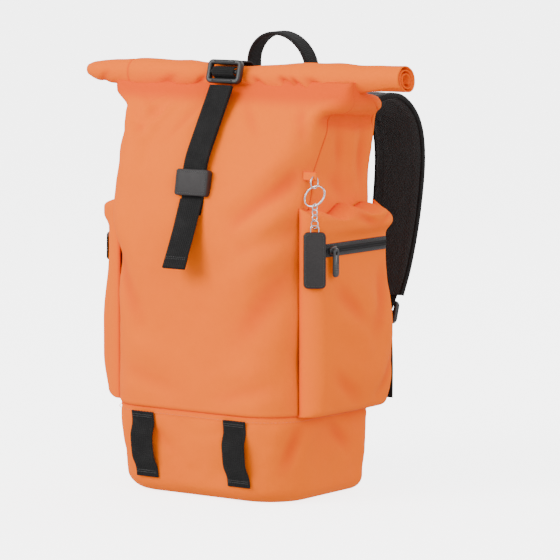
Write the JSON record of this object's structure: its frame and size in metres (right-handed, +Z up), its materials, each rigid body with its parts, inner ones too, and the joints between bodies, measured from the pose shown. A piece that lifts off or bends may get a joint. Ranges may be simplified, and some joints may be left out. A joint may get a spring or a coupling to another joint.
{
  "type": "roll-top backpack",
  "caption": "Soft roll-top daypack with a strapped rolled collar, zipped side pockets, gear loops, haul handle, padded shoulder straps and a hanging key charm.",
  "frame": {"origin": "middle of the flat rest face under the lower section", "axes": "+Z up, +X to the wearer's left and the viewer's right seen from the front, -Y out of the front panel, +Y towards the wearer's back"},
  "size_m": [0.328, 0.2411, 0.42],
  "materials": {
    "orange_polyester": "fine plain weave, soft sheen",
    "black_webbing": "ribbed woven webbing",
    "black_mesh": "padded spacer mesh",
    "zip_tape": "herringbone zip tape",
    "black_plastic": "satin moulded acetal",
    "dark_metal": "satin black lacquer on zinc",
    "charcoal_leather": "matte embossed leather",
    "grey_board": "rigid polyethylene sheet",
    "silver_wire": "bright nickel plate"
  },
  "bodies": {
    "root": {"front_panel": "orange_polyester", "back_panel": "orange_polyester", "left_side_panel": "orange_polyester", "right_side_panel": "orange_polyester", "base_bucket": "orange_polyester", "base_board": "grey_board", "rolled_collar": "orange_polyester", "back_pad": "black_mesh", "strap_yoke": "black_webbing", "haul_handle_ends": "black_webbing", "closure_rear_webbing": "black_webbing", "closure_anchor_webbing": "black_webbing", "closure_return_webbing": "black_webbing", "badge_keeper": "charcoal_leather", "key_loop_tab": "orange_polyester", "left_pocket": "orange_polyester", "right_pocket": "orange_polyester", "left_zip_tape": "zip_tape", "right_zip_tape": "zip_tape", "left_zip_coil": "black_plastic", "right_zip_coil": "black_plastic", "left_gear_loop": "black_webbing", "right_gear_loop": "black_webbing", "left_strap_root": "black_mesh", "right_strap_root": "black_mesh", "left_lower_wing": "black_mesh", "right_lower_wing": "black_mesh", "left_wing_webbing": "black_webbing", "right_wing_webbing": "black_webbing"},
    "closure_buckle": {"closure_buckle": "black_plastic"},
    "closure_tail": {"closure_tail": "black_webbing"},
    "haul_handle": {"haul_handle": "black_webbing"},
    "left_zip_slider": {"left_zip_slider": "dark_metal"},
    "left_zip_pull": {"left_zip_pull": "dark_metal"},
    "left_strap": {"left_shoulder_strap": "black_mesh", "left_strap_webbing": "black_webbing"},
    "left_adjuster": {"left_strap_adjuster": "black_plastic"},
    "left_strap_tail": {"left_strap_tail": "black_webbing"},
    "right_zip_slider": {"right_zip_slider": "dark_metal"},
    "right_zip_pull": {"right_zip_pull": "dark_metal"},
    "right_strap": {"right_shoulder_strap": "black_mesh", "right_strap_webbing": "black_webbing"},
    "right_adjuster": {"right_strap_adjuster": "black_plastic"},
    "right_strap_tail": {"right_strap_tail": "black_webbing"},
    "small_ring": {"small_ring": "silver_wire"},
    "key_ring": {"key_ring": "silver_wire"},
    "key_chain": {"key_chain": "silver_wire"},
    "charm_link": {"charm_link": "silver_wire"},
    "key_charm": {"key_charm": "charcoal_leather"}
  },
  "joints": [
    {"name": "buckle_tilt", "type": "hinge", "parent": "root", "child": "closure_buckle", "pos_m": [0, -0.0211, 0.3936], "axis": [-1, 0, 0], "range_deg": [0, 25]},
    {"name": "tail_swing", "type": "hinge", "parent": "root", "child": "closure_tail", "pos_m": [0, -0.0746, 0.2724], "axis": [-1, 0, 0], "range_deg": [-8, 60]},
    {"name": "handle_fold", "type": "hinge", "parent": "root", "child": "haul_handle", "pos_m": [0, 0.0745, 0.338], "axis": [-1, 0, 0], "range_deg": [0, 95]},
    {"name": "left_zip_slide", "type": "slide", "parent": "root", "child": "left_zip_slider", "axis": [0, 1, 0], "range_m": [0, 0.08]},
    {"name": "left_pull_swing", "type": "hinge", "parent": "left_zip_slider", "child": "left_zip_pull", "pos_m": [-0.1278, -0.031, 0.23225], "axis": [0, 1, 0], "range_deg": [0, 100]},
    {"name": "left_strap_swing", "type": "hinge", "parent": "root", "child": "left_strap", "pos_m": [-0.06, 0.0755, 0.338], "axis": [0.0372, 0, 0.9993], "range_deg": [-15, 35]},
    {"name": "left_adjuster_tilt", "type": "hinge", "parent": "left_strap", "child": "left_adjuster", "pos_m": [-0.08478, 0.11183, 0.16725], "axis": [1, 0, 0], "range_deg": [0, 10]},
    {"name": "left_tail_swing", "type": "hinge", "parent": "left_adjuster", "child": "left_strap_tail", "pos_m": [-0.08072, 0.10975, 0.147], "axis": [1, 0, 0], "range_deg": [-10, 60]},
    {"name": "right_zip_slide", "type": "slide", "parent": "root", "child": "right_zip_slider", "axis": [0, 1, 0], "range_m": [0, 0.08]},
    {"name": "right_pull_swing", "type": "hinge", "parent": "right_zip_slider", "child": "right_zip_pull", "pos_m": [0.1278, -0.031, 0.23225], "axis": [0, -1, 0], "range_deg": [0, 100]},
    {"name": "right_strap_swing", "type": "hinge", "parent": "root", "child": "right_strap", "pos_m": [0.06, 0.0755, 0.338], "axis": [0.0372, 0, -0.9993], "range_deg": [-15, 35]},
    {"name": "right_adjuster_tilt", "type": "hinge", "parent": "right_strap", "child": "right_adjuster", "pos_m": [0.08478, 0.11183, 0.16725], "axis": [1, 0, 0], "range_deg": [0, 10]},
    {"name": "right_tail_swing", "type": "hinge", "parent": "right_adjuster", "child": "right_strap_tail", "pos_m": [0.08072, 0.10975, 0.147], "axis": [1, 0, 0], "range_deg": [-10, 60]},
    {"name": "small_ring_swing", "type": "hinge", "parent": "root", "child": "small_ring", "pos_m": [0.11, -0.038, 0.296], "axis": [0, -1, 0], "range_deg": [0, 35]},
    {"name": "key_ring_swing", "type": "hinge", "parent": "small_ring", "child": "key_ring", "pos_m": [0.11, -0.038, 0.286], "axis": [-0.7986, -0.6018, 0], "range_deg": [0, 22]},
    {"name": "chain_swing", "type": "hinge", "parent": "key_ring", "child": "key_chain", "pos_m": [0.11758, -0.04806, 0.2715], "axis": [-0.7986, -0.6018, 0], "range_deg": [0, 30]},
    {"name": "link_swing", "type": "hinge", "parent": "key_chain", "child": "charm_link", "pos_m": [0.11758, -0.04806, 0.2577], "axis": [-0.7986, -0.6018, 0], "range_deg": [0, 40]},
    {"name": "charm_swing", "type": "hinge", "parent": "charm_link", "child": "key_charm", "pos_m": [0.11758, -0.04806, 0.2508], "axis": [-0.7986, -0.6018, 0], "range_deg": [0, 10]}
  ]
}
